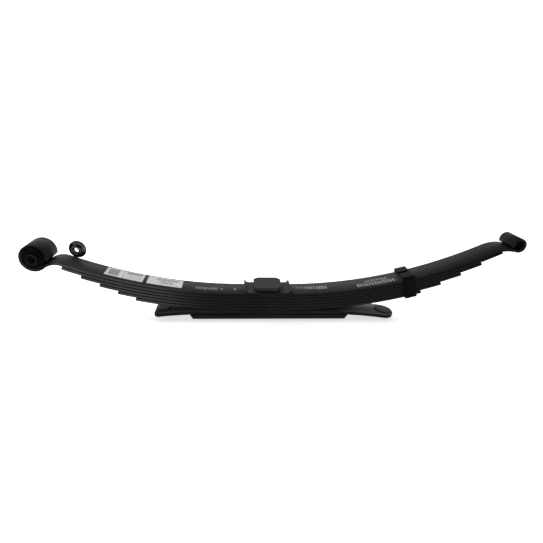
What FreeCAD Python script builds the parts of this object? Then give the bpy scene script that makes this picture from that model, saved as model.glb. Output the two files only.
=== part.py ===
"""Rear leaf spring of a light truck: six graduated leaves over a flat overload leaf.

Frame: the origin is on the centre bolt's axis, on the seat face under the bottom plate.
+X points to the rear eye, +Z up, and +Y along the eye bores. Millimetres.
"""

import FreeCAD, Part
import math
import os
import Sketcher

Vec = FreeCAD.Vector
UP = Vec(0, 0, 1)
ALONG_Y = FreeCAD.Rotation(Vec(1, 0, 0), -90)

SIZES = {
    # leaves
    "leaf_width": 76.2,
    "leaf_thick": 8.0,
    "leaf_gap": 1.4,
    "leaf_radius": 1440.0,
    "pack_top": 83.0,
    "front_flat": 78.0,
    "rear_flat": 55.0,
    "front_reach": 580.0,
    "front_step": 49.0,
    "rear_reach": 695.0,
    "rear_step": 57.5,
    "second_tip_thick": 4.0,
    "second_taper": 48.0,
    # eyes of the main leaf
    "front_bend_start": 500.0,
    "front_bend_radius": 51.0,
    "front_eye_bore": 31.0,
    "front_eye_drop": 7.4,
    "front_wrap_end": 172.0,
    "rear_bend_start": 610.0,
    "rear_bend_radius": 106.0,
    "rear_eye_bore": 13.5,
    "rear_eye_drop": 10.0,
    "rear_wrap_end": 175.0,
    # overload leaf and bottom plate
    "overload_thick": 11.5,
    "overload_bottom": 14.0,
    "overload_flat": 188.0,
    "overload_radius": 1150.0,
    "overload_front": 335.0,
    "overload_rear": 397.0,
    "overload_corner": 9.0,
    "pad_thick": 4.0,
    "rear_pad_radius": 28.0,
    "front_pad_radius": 22.0,
    "pad_edge_round": 1.5,
    "pad_stem": 4.0,
    "plate_thick": 12.5,
    "plate_front": 230.0,
    "plate_rear": 246.0,
    "plate_bevel": 8.0,
    "seat_recess": 9.75,
    "recess_depth": 3.0,
    # clamp at the centre
    "bolt_hole": 6.5,
    "bolt_radius": 6.0,
    "dowel_radius": 9.0,
    "dowel_drop": 10.0,
    "flange_radius": 9.5,
    "liner_length": 100.0,
    "saddle_thick": 4.0,
    "saddle_width": 84.0,
    "saddle_flat": 55.0,
    "saddle_bend": 14.0,
    "saddle_lip_angle": 62.0,
    "saddle_tab_length": 50.0,
    "saddle_tab_drop": 7.0,
    "tab_clearance": 0.4,
    "pad_length": 82.0,
    "pad_width": 86.0,
    "pad_corner": 12.0,
    "pad_plate": 6.5,
    "pad_foot": 9.0,
    "foot_length": 62.0,
    "foot_width": 70.0,
    "nut_pocket": 12.5,
    "pocket_depth": 10.0,
    "nut_flats": 19.0,
    "nut_height": 8.0,
    # bush in the front eye and liner in the rear eye
    "shell_outer": 30.95,
    "shell_inner": 28.5,
    "rubber_lip": 30.5,
    "rubber_length": 94.0,
    "lip_round": 5.0,
    "sleeve_radius": 16.0,
    "sleeve_bore": 10.25,
    "sleeve_length": 98.0,
    "sleeve_clearance": 0.05,
    "liner_outer": 13.45,
    "liner_bore": 12.0,
    # tip liners, rebound clip, spare nut and labels
    "tip_liner_thick": 0.8,
    "tip_liner_length": 32.0,
    "tip_liner_width": 60.0,
    "clip_place": 420.0,
    "clip_length": 35.0,
    "clip_thick": 5.0,
    "clip_side_gap": 1.5,
    "clip_under_gap": 0.6,
    "clip_over_gap": 6.0,
    "clip_corner": 8.0,
    "clip_tab": 35.0,
    "clip_rivet": 5.0,
    "clip_rivet_head": 9.0,
    "nut_place": 555.0,
    "nut_flange": 25.5,
    "nut_hex": 28.0,
    "nut_turn": 4.0,
    "nut_length": 17.0,
    "nut_bore": 9.0,
    "label_thick": 0.2,
    "label_width": 54.0,
    "label_shift": 5.0,
    "first_label_in": 365.0,
    "first_label_out": 471.0,
    "second_label_in": 253.0,
    "second_label_out": 354.0,
}

LEAF_NAMES = ["second_leaf", "third_leaf", "fourth_leaf", "fifth_leaf", "sixth_leaf"]

doc = FreeCAD.newDocument("leaf_spring")


def make_sheet():
    """The driving dimensions, one named cell each."""
    sheet = doc.addObject("Spreadsheet::Sheet", "Sizes")
    for row, (name, value) in enumerate(SIZES.items(), start=1):
        sheet.set(f"A{row}", name)
        sheet.set(f"B{row}", str(value))
        sheet.setAlias(f"B{row}", name)
    doc.recompute()
    return sheet


sheet = make_sheet()


def bind(thing, prop, formula):
    """Ties a property to the sheet; names in the formula in braces are cells."""
    thing.setExpression(prop, formula.replace("{", "Sizes.").replace("}", ""))


def new_body(label):
    body = doc.addObject("PartDesign::Body", label)
    body.Label = label
    return body


def new_sketch(body, name, role, height=0.0):
    """An empty sketch on one of the body's origin planes, moved along its normal."""
    sketch = body.newObject("Sketcher::SketchObject", f"{body.Name}_{name}")
    plane = [item for item in body.Origin.OriginFeatures if item.Role == role][0]
    sketch.AttachmentSupport = [(plane, "")]
    sketch.MapMode = "FlatFace"
    sketch.AttachmentOffset = FreeCAD.Placement(Vec(0, 0, height), FreeCAD.Rotation())
    return sketch


def join_ends(sketch, first, last):
    """Ties the ends of the edges numbered first to last - 1 where they meet."""
    ends = [(edge, pos, sketch.getPoint(edge, pos)) for edge in range(first, last) for pos in (1, 2)]
    for place, (edge, pos, point) in enumerate(ends):
        for other, other_pos, other_point in ends[place + 1:]:
            if other != edge and (point - other_point).Length < 1e-6:
                sketch.addConstraint(Sketcher.Constraint("Coincident", edge, pos, other, other_pos))


def draw(sketch, edges):
    """Adds edges that already meet end to end and ties them together."""
    first = sketch.GeometryCount
    sketch.addGeometry(edges, False)
    join_ends(sketch, first, sketch.GeometryCount)


def polygon(points):
    """Straight edges through the points and back to the first."""
    corners = [Vec(x, y, 0) for x, y in points]
    return [Part.LineSegment(a, b) for a, b in zip(corners, corners[1:] + corners[:1])]


def pad(body, sketch, length, centred=False):
    feature = body.newObject("PartDesign::Pad", f"{sketch.Name}_pad")
    feature.Profile = sketch
    bind(feature, "Length", length)
    feature.Midplane = centred
    sketch.Visibility = False
    doc.recompute()
    return feature


def pocket(body, sketch, length=None, reverse=False):
    """Cuts the sketch out, right through when no depth is given, and checks that it did."""
    before = body.Shape.Volume
    feature = body.newObject("PartDesign::Pocket", f"{sketch.Name}_cut")
    feature.Profile = sketch
    if length:
        bind(feature, "Length", length)
        feature.Reversed = reverse
    else:
        feature.Type = "ThroughAll"
        feature.Midplane = True
    sketch.Visibility = False
    doc.recompute()
    if body.Shape.Volume > before - 1e-3:
        raise RuntimeError(f"{feature.Name} cuts nothing")
    return feature


def round_hole(body, name, radius, x=0.0):
    """A hole right through along Z, its radius tied to a cell."""
    sketch = new_sketch(body, name, "XY_Plane")
    sketch.addGeometry(Part.Circle(Vec(x, 0, 0), UP, getattr(sheet, radius)), False)
    sketch.addConstraint(Sketcher.Constraint("Radius", 0, getattr(sheet, radius)))
    bind(sketch, "Constraints[0]", "{" + radius + "}")
    return pocket(body, sketch)


# ---- bent strips --------------------------------------------------------------------------

def strip_half(side, thick, middle_z, steps):
    """One half of a bent strip's side view, from x = 0 outwards.

    steps are ("line", length) or ("arc", radius of the middle line, degrees), where a
    positive angle bends up. Returns the edges and the top and bottom end points.
    """
    point = Vec(0, middle_z, 0)
    angle = 0.0
    edges = []

    def world(vector):
        return Vec(side * vector.x, vector.y, 0)

    for step in steps:
        normal = Vec(-math.sin(angle), math.cos(angle), 0)
        offsets = (thick / 2, -thick / 2)
        if step[0] == "line":
            ahead = Vec(math.cos(angle), math.sin(angle), 0) * step[1]
            for offset in offsets:
                start = point + normal * offset
                edges.append(Part.LineSegment(world(start), world(start + ahead)))
            point = point + ahead
            continue
        turn = math.radians(step[2])
        bend = math.copysign(1, turn)
        centre = point + normal * (bend * step[1])
        for offset in offsets:
            spots = []
            for share in (0.0, 0.5, 1.0):
                now = angle + turn * share
                out = Vec(math.sin(now), -math.cos(now), 0) * bend
                spots.append(world(centre + out * (step[1] - bend * offset)))
            edges.append(Part.ArcOfCircle(*spots))
        angle += turn
        point = centre + Vec(math.sin(angle), -math.cos(angle), 0) * (bend * step[1])
    normal = Vec(-math.sin(angle), math.cos(angle), 0) * (thick / 2)
    return edges, world(point + normal), world(point - normal)


def draw_strip(sketch, thick, middle_z, front_steps, rear_steps):
    """The closed side view of a strip bent both ways from x = 0."""
    edges = []
    for side, steps in ((-1, front_steps), (1, rear_steps)):
        half, top, bottom = strip_half(side, thick, middle_z, steps)
        edges += half + [Part.LineSegment(top, bottom)]
    draw(sketch, edges)


def leaf_top(number):
    """Height of a leaf's top face at the seat, leaf 1 being the main leaf."""
    return sheet.pack_top - (number - 1) * (sheet.leaf_thick + sheet.leaf_gap)


def arc_radius(height):
    """Radius of the pack's curve at a height over the seat: all its arcs share a centre."""
    return sheet.leaf_radius + sheet.pack_top - height


def arc_angle(reach, radius):
    return math.degrees(math.asin(reach / radius))


def arc_steps(flat, end, height):
    """A flat then one arc out to x = end, at the given height over the seat."""
    radius = arc_radius(height)
    return [("line", flat), ("arc", radius, arc_angle(end - flat, radius))]


def eye_angle(bend_radius, middle_radius, drop):
    """How far the leaf dips before it rolls up, so that the eye sits drop below its line."""
    return math.degrees(math.acos((bend_radius - drop) / (bend_radius + middle_radius)))


def eye_steps(end_name):
    """The main leaf's middle line on one side: flat, arc, dip and rolled eye."""
    flat = getattr(sheet, f"{end_name}_flat")
    middle = sheet.pack_top - sheet.leaf_thick / 2
    bend = getattr(sheet, f"{end_name}_bend_radius")
    roll = getattr(sheet, f"{end_name}_eye_bore") + sheet.leaf_thick / 2
    dip = eye_angle(bend, roll, getattr(sheet, f"{end_name}_eye_drop"))
    lean = arc_angle(getattr(sheet, f"{end_name}_bend_start"), sheet.leaf_radius)
    wrap = getattr(sheet, f"{end_name}_wrap_end") + 90 + dip
    return [
        ("line", flat),
        ("arc", arc_radius(middle), lean),
        ("arc", bend, -dip),
        ("arc", roll, wrap),
    ]


def eye_centre(end_name):
    """Centre of a rolled eye, from the same steps as the leaf."""
    flat, arc, dip, roll = eye_steps(end_name)
    lean = math.radians(arc[2])
    turn = math.radians(-dip[2])
    x = flat[1] + arc[1] * math.sin(lean)
    z = sheet.pack_top - sheet.leaf_thick / 2 + arc[1] * (1 - math.cos(lean))
    ahead = (dip[1] + roll[1]) * math.sin(turn)
    drop = getattr(sheet, f"{end_name}_eye_drop")
    x += ahead * math.cos(lean) + drop * math.sin(lean)
    z += ahead * math.sin(lean) - drop * math.cos(lean)
    return Vec(-x if end_name == "front" else x, 0, z)


def on_pack(end_name, reach, height):
    """Point and upward tilt (degrees) on the pack's curve, reach from the centre bolt."""
    flat = getattr(sheet, f"{end_name}_flat")
    radius = arc_radius(height)
    tilt = arc_angle(reach - flat, radius)
    z = height + radius * (1 - math.cos(math.radians(tilt)))
    side = -1 if end_name == "front" else 1
    return Vec(side * reach, 0, z), side * tilt


# ---- leaves -------------------------------------------------------------------------------

def main_leaf():
    body = new_body("main_leaf")
    sketch = new_sketch(body, "side", "XZ_Plane")
    middle = sheet.pack_top - sheet.leaf_thick / 2
    draw_strip(sketch, sheet.leaf_thick, middle, eye_steps("front"), eye_steps("rear"))
    pad(body, sketch, "{leaf_width}", centred=True)
    round_hole(body, "bolt_hole", "bolt_hole")
    return body


def second_tip(body, height):
    """Tapers the second leaf's rear tip, which lies under the main leaf's dip."""
    bottom = height - sheet.leaf_thick
    tip, _ = on_pack("rear", sheet.rear_reach, bottom)
    start, _ = on_pack("rear", sheet.rear_reach - sheet.second_taper, height)
    sketch = new_sketch(body, "taper", "XZ_Plane")
    draw(sketch, polygon([
        (start.x, start.z),
        (tip.x + 10, tip.z + sheet.second_tip_thick + 2.5),
        (tip.x + 10, tip.z + 40),
        (start.x, start.z + 40),
    ]))
    pocket(body, sketch)


def graduated_leaf(label, number):
    """A leaf of the pack: each is one step shorter than the one above."""
    body = new_body(label)
    sketch = new_sketch(body, "side", "XZ_Plane")
    top = leaf_top(number)
    front = sheet.front_reach - (number - 2) * sheet.front_step
    rear = sheet.rear_reach - (number - 2) * sheet.rear_step
    middle = top - sheet.leaf_thick / 2
    draw_strip(
        sketch,
        sheet.leaf_thick,
        middle,
        arc_steps(sheet.front_flat, front, middle),
        arc_steps(sheet.rear_flat, rear, middle),
    )
    pad(body, sketch, "{leaf_width}", centred=True)
    round_hole(body, "bolt_hole", "bolt_hole")
    if number == 2:
        second_tip(body, top)
    return body


def overload_tilt(reach):
    """Droop of the overload leaf's tip, in degrees."""
    return arc_angle(reach - sheet.overload_flat, sheet.overload_radius)


def on_overload(side, reach):
    """Point on the overload leaf's top face and its tilt, side being -1 front or 1 rear."""
    radius = sheet.overload_radius + sheet.overload_thick / 2
    tilt = arc_angle(reach - sheet.overload_flat, radius)
    z = sheet.overload_bottom + sheet.overload_thick
    z -= radius * (1 - math.cos(math.radians(tilt)))
    return Vec(side * reach, 0, z), -side * tilt


def overload_leaf():
    """Flat in the middle, drooping tips: clipped corners in front, a round tip behind."""
    body = new_body("overload_leaf")
    sketch = new_sketch(body, "side", "XZ_Plane")
    middle = sheet.overload_bottom + sheet.overload_thick / 2
    halves = []
    for reach in (sheet.overload_front, sheet.overload_rear):
        droop = -overload_tilt(reach)
        halves.append([("line", sheet.overload_flat), ("arc", sheet.overload_radius, droop)])
    draw_strip(sketch, sheet.overload_thick, middle, *halves)
    pad(body, sketch, "{leaf_width}", centred=True)
    round_hole(body, "bolt_hole", "bolt_hole")
    half = sheet.leaf_width / 2
    for name, side in (("near_corner", -1), ("far_corner", 1)):
        corner = new_sketch(body, name, "XY_Plane")
        tip = -sheet.overload_front - 5
        cut = sheet.overload_corner + 5
        draw(corner, polygon([
            (tip, side * (half + 5)),
            (tip + cut + 5, side * (half + 5)),
            (tip, side * (half - cut)),
        ]))
        pocket(body, corner)
    tip = new_sketch(body, "round_tip", "XY_Plane")
    base = sheet.overload_rear - half
    arc = Part.ArcOfCircle(Vec(base, -half, 0), Vec(base + half, 0, 0), Vec(base, half, 0))
    outer = base + half + 20
    edges = [
        arc,
        Part.LineSegment(Vec(base, half, 0), Vec(base, half + 5, 0)),
        Part.LineSegment(Vec(base, half + 5, 0), Vec(outer, half + 5, 0)),
        Part.LineSegment(Vec(outer, half + 5, 0), Vec(outer, -half - 5, 0)),
        Part.LineSegment(Vec(outer, -half - 5, 0), Vec(base, -half - 5, 0)),
        Part.LineSegment(Vec(base, -half - 5, 0), Vec(base, -half, 0)),
    ]
    draw(tip, edges)
    pocket(body, tip)
    for name, side, reach in overload_pads():
        slant = math.sin(math.radians(overload_tilt(reach)))
        centre = Vec(side * (reach - sheet.overload_thick / 2 * slant), 0, 0)
        hole = new_sketch(body, f"{name}_hole", "XY_Plane")
        hole.addGeometry(Part.Circle(centre, UP, sheet.pad_stem + 1), False)
        pocket(body, hole)
    return body


def overload_pads():
    """Name, side and reach of the wear pad at each tip of the overload leaf."""
    front = sheet.overload_front - sheet.front_pad_radius - 3
    rear = sheet.overload_rear - sheet.rear_pad_radius - 2
    return [("overload_front_pad", -1, front), ("overload_rear_pad", 1, rear)]


def overload_pad(label, side, reach, radius_cell):
    """A round wear pad, its stem pressed down through the tip of the overload leaf."""
    disc = doc.addObject("Part::Cylinder", f"{label}_disc")
    bind(disc, "Radius", "{" + radius_cell + "}")
    bind(disc, "Height", "{pad_thick}")
    crown = doc.addObject("Part::Fillet", f"{label}_crown")
    crown.Base = disc
    crown.Edges = [(3, sheet.pad_edge_round, sheet.pad_edge_round)]
    stem = doc.addObject("Part::Cylinder", f"{label}_stem")
    bind(stem, "Radius", "{pad_stem}")
    bind(stem, "Height", "{overload_thick} - 1")
    bind(stem, "Placement.Base.z", "1 - {overload_thick}")
    whole = doc.addObject("Part::Fuse", label)
    whole.Base = crown
    whole.Tool = stem
    centre, tilt = on_overload(side, reach)
    turn = FreeCAD.Rotation(Vec(0, 1, 0), -tilt)
    lift = turn.multVec(UP) * 0.15
    whole.Placement = FreeCAD.Placement(centre + lift, turn)
    return whole


def bottom_plate():
    """The plate on the axle seat: bevelled ends and a recess for the bolt's dowel head."""
    body = new_body("bottom_plate")
    sketch = new_sketch(body, "side", "XZ_Plane")
    draw(sketch, polygon([
        (-sheet.plate_front, sheet.plate_thick),
        (-sheet.plate_front + sheet.plate_bevel, 0),
        (sheet.plate_rear - sheet.plate_bevel, 0),
        (sheet.plate_rear, sheet.plate_thick),
    ]))
    pad(body, sketch, "{leaf_width}", centred=True)
    round_hole(body, "bolt_hole", "bolt_hole")
    recess = new_sketch(body, "recess", "XY_Plane")
    recess.addGeometry(Part.Circle(Vec(0, 0, 0), UP, sheet.seat_recess), False)
    pocket(body, recess, "{recess_depth}", reverse=True)
    return body


# ---- clamp at the centre --------------------------------------------------------------------

def group(label, members):
    """Several loose pieces that share one node."""
    compound = doc.addObject("Part::Compound", label)
    compound.Label = label
    compound.Links = members
    return compound


def drilled_sheet(name, bottom, thick, length):
    """A rectangular liner as wide as a leaf, with the centre bolt's hole."""
    slab = doc.addObject("Part::Box", f"{name}_slab")
    bind(slab, "Length", length)
    bind(slab, "Width", "{leaf_width}")
    bind(slab, "Height", thick)
    bind(slab, "Placement.Base.x", f"-({length}) / 2")
    bind(slab, "Placement.Base.y", "-{leaf_width} / 2")
    bind(slab, "Placement.Base.z", bottom)
    hole = doc.addObject("Part::Cylinder", f"{name}_hole")
    bind(hole, "Radius", "{bolt_hole}")
    bind(hole, "Height", thick)
    bind(hole, "Placement.Base.z", bottom)
    liner = doc.addObject("Part::Cut", name)
    liner.Base = slab
    liner.Tool = hole
    return liner


def centre_liners():
    """The thin liners that part the leaves at the clamp."""
    liners = []
    for number in range(1, len(LEAF_NAMES) + 1):
        bottom = f"{{pack_top}} - {number} * ({{leaf_thick}} + {{leaf_gap}})"
        liners.append(drilled_sheet(f"liner_{number}", bottom, "{leaf_gap}", "{liner_length}"))
    return group("centre_liners", liners)


def overload_spacers():
    """One spacer above and one below the overload leaf."""
    over = "{overload_bottom} + {overload_thick}"
    under_pack = f"{{pack_top}} - {len(LEAF_NAMES)} * ({{leaf_thick}} + {{leaf_gap}}) - {{leaf_thick}}"
    upper = drilled_sheet("upper_spacer", over, f"{under_pack} - ({over})", "1.5 * {liner_length}")
    lower = drilled_sheet(
        "lower_spacer", "{plate_thick}", "{overload_bottom} - {plate_thick}", "1.5 * {liner_length}"
    )
    return group("overload_spacers", [upper, lower])


def saddle_plate():
    """The plate over the main leaf: lips turned up at its ends, tabs down its sides."""
    body = new_body("saddle_plate")
    sketch = new_sketch(body, "side", "XZ_Plane")
    middle = sheet.pack_top + sheet.saddle_thick / 2
    lip = [
        ("line", sheet.saddle_flat),
        ("arc", sheet.saddle_bend, sheet.saddle_lip_angle),
        ("line", 1.5),
    ]
    draw_strip(sketch, sheet.saddle_thick, middle, lip, lip)
    pad(body, sketch, "{saddle_width}", centred=True)
    inner = sheet.leaf_width / 2 + sheet.tab_clearance
    outer = inner + sheet.saddle_thick
    for name, side in (("near_tab", -1), ("far_tab", 1)):
        tab = new_sketch(body, name, "YZ_Plane")
        draw(tab, polygon([
            (side * inner, sheet.pack_top - sheet.saddle_tab_drop),
            (side * outer, sheet.pack_top - sheet.saddle_tab_drop),
            (side * outer, sheet.pack_top + sheet.saddle_thick),
            (side * inner, sheet.pack_top + sheet.saddle_thick),
        ]))
        pad(body, tab, "{saddle_tab_length}", centred=True)
    round_hole(body, "bolt_hole", "bolt_hole")
    return body


def top_pad():
    """The eight-sided bump and clamp pad, hollowed underneath over the centre nut."""
    body = new_body("top_pad")
    base = sheet.pack_top + sheet.saddle_thick
    foot = new_sketch(body, "foot", "XY_Plane", base)
    half_x = sheet.foot_length / 2
    half_y = sheet.foot_width / 2
    draw(foot, polygon([(-half_x, -half_y), (half_x, -half_y), (half_x, half_y), (-half_x, half_y)]))
    pad(body, foot, "{pad_foot}")
    top = new_sketch(body, "top", "XY_Plane", base + sheet.pad_foot)
    half_x = sheet.pad_length / 2
    half_y = sheet.pad_width / 2
    cut = sheet.pad_corner
    corners = []
    for sign_x, sign_y in ((1, 1), (-1, 1), (-1, -1), (1, -1)):
        pair = [
            (sign_x * half_x, sign_y * (half_y - cut)),
            (sign_x * (half_x - cut), sign_y * half_y),
        ]
        corners += pair if sign_x * sign_y > 0 else pair[::-1]
    draw(top, polygon(corners))
    pad(body, top, "{pad_plate}")
    hollow = new_sketch(body, "nut_pocket", "XY_Plane", base)
    hollow.addGeometry(Part.Circle(Vec(0, 0, 0), UP, sheet.nut_pocket), False)
    pocket(body, hollow, "{pocket_depth}", reverse=True)
    return body


def centre_bolt():
    """Dowel head below the seat, flange in the plate's recess, shank up through every leaf."""
    dowel = doc.addObject("Part::Cylinder", "bolt_dowel")
    bind(dowel, "Radius", "{dowel_radius}")
    bind(dowel, "Height", "{dowel_drop}")
    bind(dowel, "Placement.Base.z", "-{dowel_drop}")
    edge = doc.addObject("Part::Chamfer", "bolt_dowel_edge")
    edge.Base = dowel
    edge.Edges = [(2, 1.0, 1.0)]
    flange = doc.addObject("Part::Cylinder", "bolt_flange")
    bind(flange, "Radius", "{flange_radius}")
    bind(flange, "Height", "{recess_depth}")
    shank = doc.addObject("Part::Cylinder", "bolt_shank")
    bind(shank, "Radius", "{bolt_radius}")
    bind(shank, "Height", "{pack_top} + {saddle_thick} + {nut_height} + 1")
    bolt = doc.addObject("Part::MultiFuse", "centre_bolt")
    bolt.Shapes = [edge, flange, shank]
    return bolt


def centre_nut():
    """Hexagon nut on the saddle plate, inside the top pad."""
    hexagon = doc.addObject("Part::Prism", "nut_hexagon")
    hexagon.Polygon = 6
    bind(hexagon, "Circumradius", "{nut_flats} / 2 / cos(30)")
    bind(hexagon, "Height", "{nut_height}")
    bore = doc.addObject("Part::Cylinder", "nut_thread")
    bind(bore, "Radius", "{bolt_radius} + 0.03")
    bind(bore, "Height", "{nut_height}")
    nut = doc.addObject("Part::Cut", "centre_nut")
    nut.Base = hexagon
    nut.Tool = bore
    nut.Placement = FreeCAD.Placement(Vec(0, 0, sheet.pack_top + sheet.saddle_thick), FreeCAD.Rotation())
    return nut


# ---- eyes -----------------------------------------------------------------------------------

def tube(label, outer, inner, length, centre):
    """A tube along Y about a point, its sizes in named cells."""
    wall = doc.addObject("Part::Cylinder", f"{label}_outer")
    bore = doc.addObject("Part::Cylinder", f"{label}_inner")
    for solid, radius in ((wall, outer), (bore, inner)):
        bind(solid, "Radius", "{" + radius + "}")
        bind(solid, "Height", "{" + length + "}")
    ring = doc.addObject("Part::Cut", label)
    ring.Base = wall
    ring.Tool = bore
    start = Vec(centre.x, -getattr(sheet, length) / 2, centre.z)
    ring.Placement = FreeCAD.Placement(start, ALONG_Y)
    return ring


def front_bush_rubber():
    """Rubber between shell and sleeve, with a rounded lip past each side of the eye."""
    body = new_body("front_bush_rubber")
    sketch = new_sketch(body, "section", "XY_Plane")
    half = sheet.rubber_length / 2
    eye = sheet.leaf_width / 2 + 0.3
    core = sheet.sleeve_radius + sheet.sleeve_clearance
    tube_wall = sheet.shell_inner
    lip = sheet.rubber_lip
    bend = sheet.lip_round
    edges = []
    for side in (1, -1):
        knee = bend * (1 - math.sqrt(0.5))
        edges += [
            Part.LineSegment(Vec(tube_wall, side * eye, 0), Vec(lip, side * eye, 0)),
            Part.LineSegment(Vec(lip, side * eye, 0), Vec(lip, side * (half - bend), 0)),
            Part.ArcOfCircle(
                Vec(lip, side * (half - bend), 0),
                Vec(lip - knee, side * (half - knee), 0),
                Vec(lip - bend, side * half, 0),
            ),
            Part.LineSegment(Vec(lip - bend, side * half, 0), Vec(core, side * half, 0)),
        ]
    edges.append(Part.LineSegment(Vec(tube_wall, eye, 0), Vec(tube_wall, -eye, 0)))
    edges.append(Part.LineSegment(Vec(core, half, 0), Vec(core, -half, 0)))
    draw(sketch, edges)
    turned = body.newObject("PartDesign::Revolution", "rubber_turned")
    turned.Profile = sketch
    turned.ReferenceAxis = (sketch, ["V_Axis"])
    turned.Angle = 360
    sketch.Visibility = False
    doc.recompute()
    body.Placement = FreeCAD.Placement(eye_centre("front"), FreeCAD.Rotation())
    return body


# ---- tip liners, clip, spare nut and labels ---------------------------------------------------

def curved_patch(name, end_name, height, thick, inner, outer, width):
    """A thin sheet that follows the pack's curve between two reaches."""
    body = new_body(name)
    sketch = new_sketch(body, "side", "XZ_Plane")
    side = -1 if end_name == "front" else 1
    flat = getattr(sheet, f"{end_name}_flat")
    centre = Vec(side * flat, sheet.pack_top + sheet.leaf_radius, 0)

    def spot(radius, reach):
        lean = math.asin((reach - flat) / radius)
        return centre + Vec(side * math.sin(lean), -math.cos(lean), 0) * radius

    low = arc_radius(height)
    high = arc_radius(height + thick)
    middle = (inner + outer) / 2
    draw(sketch, [
        Part.ArcOfCircle(spot(low, inner), spot(low, middle), spot(low, outer)),
        Part.LineSegment(spot(low, outer), spot(high, outer)),
        Part.ArcOfCircle(spot(high, outer), spot(high, middle), spot(high, inner)),
        Part.LineSegment(spot(high, inner), spot(low, inner)),
    ])
    pad(body, sketch, width, centred=True)
    return body


def tip_liners(end_name):
    """Thin anti-squeak liners on the tips of leaves 3 to 6 and under the main leaf."""
    liners = []
    for number in range(2, len(LEAF_NAMES) + 2):
        reach = getattr(sheet, f"{end_name}_reach")
        reach -= (number - 2) * getattr(sheet, f"{end_name}_step")
        outer = reach - 4
        if end_name == "rear" and number == 2:
            outer = reach - sheet.second_taper - 4
        height = leaf_top(number) + (sheet.leaf_gap - sheet.tip_liner_thick) / 2
        liners.append(curved_patch(
            f"{end_name}_tip_liner_{number}",
            end_name,
            height,
            sheet.tip_liner_thick,
            outer - sheet.tip_liner_length,
            outer,
            "{tip_liner_width}",
        ))
    return group(f"{end_name}_tip_liners", liners)


def clip_frame():
    """Where the rebound clip sits: on the main leaf's top, square to the pack's curve."""
    place, tilt = on_pack("rear", sheet.clip_place, sheet.pack_top)
    return FreeCAD.Placement(place, FreeCAD.Rotation(Vec(0, 1, 0), -tilt))


def clip_bottom():
    """Depth of the clip's inner floor below the main leaf's top."""
    pack = len(LEAF_NAMES) * (sheet.leaf_thick + sheet.leaf_gap) + sheet.leaf_thick
    return -pack - sheet.clip_under_gap


def rebound_clip():
    """A strap riveted under the shortest leaf, up both sides and folded over the main leaf."""
    body = new_body("rebound_clip")
    sketch = new_sketch(body, "wrap", "YZ_Plane")
    thick = sheet.clip_thick
    inner = sheet.leaf_width / 2 + sheet.clip_side_gap
    floor = clip_bottom()
    roof = sheet.clip_over_gap
    end = inner - sheet.clip_tab
    bend = sheet.clip_corner
    edges = []
    for side in (1, -1):
        for grow, radius in ((0, bend - thick), (thick, bend)):
            wall = side * (inner + grow)
            for level, upward in ((floor - grow, 1), (roof + grow, -1)):
                knee = radius * (1 - math.sqrt(0.5))
                edges.append(Part.ArcOfCircle(
                    Vec(wall - side * radius, level, 0),
                    Vec(wall - side * knee, level + upward * knee, 0),
                    Vec(wall, level + upward * radius, 0),
                ))
            low = Vec(wall, floor - grow + radius, 0)
            edges.append(Part.LineSegment(low, Vec(wall, roof + grow - radius, 0)))
            tab = Vec(wall - side * radius, roof + grow, 0)
            edges.append(Part.LineSegment(tab, Vec(side * end, roof + grow, 0)))
        edges.append(Part.LineSegment(Vec(side * end, roof, 0), Vec(side * end, roof + thick, 0)))
    for grow, radius in ((0, bend - thick), (thick, bend)):
        reach = inner + grow - radius
        edges.append(Part.LineSegment(Vec(-reach, floor - grow, 0), Vec(reach, floor - grow, 0)))
    draw(sketch, edges)
    pad(body, sketch, "{clip_length}", centred=True)
    hole = new_sketch(body, "rivet_hole", "XY_Plane", floor - thick - 1)
    hole.addGeometry(Part.Circle(Vec(0, 0, 0), UP, sheet.clip_rivet + 0.1), False)
    pocket(body, hole, "{clip_thick} + 4", reverse=True)
    body.Placement = clip_frame()
    return body


def clip_rivet():
    """The rivet that holds the clip to the shortest leaf, with its head underneath."""
    shank = doc.addObject("Part::Cylinder", "clip_rivet_shank")
    bind(shank, "Radius", "{clip_rivet}")
    bind(shank, "Height", "{clip_thick} + {clip_under_gap} + {leaf_thick} - 0.5")
    head = doc.addObject("Part::Cylinder", "clip_rivet_button")
    bind(head, "Radius", "{clip_rivet_head}")
    head.Height = 4
    head.Placement.Base.z = -4
    rivet = doc.addObject("Part::Fuse", "clip_rivet")
    rivet.Base = shank
    rivet.Tool = head
    frame = clip_frame()
    below = Vec(0, 0, clip_bottom() - sheet.clip_thick - 0.1)
    rivet.Placement = FreeCAD.Placement(frame.multVec(below), frame.Rotation)
    return rivet


def drill_for_clip(body):
    """The clip rivet's hole, square through the shortest leaf."""
    frame = clip_frame()
    drill = doc.addObject("Part::Cylinder", "clip_drill")
    bind(drill, "Radius", "{clip_rivet} + 0.1")
    bind(drill, "Height", "{leaf_thick} + 6")
    below = Vec(0, 0, clip_bottom() - 3)
    drill.Placement = FreeCAD.Placement(frame.multVec(below), frame.Rotation)
    drilled = doc.addObject("Part::Cut", "drilled_leaf")
    drilled.Base = body
    drilled.Tool = drill
    return drilled


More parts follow.
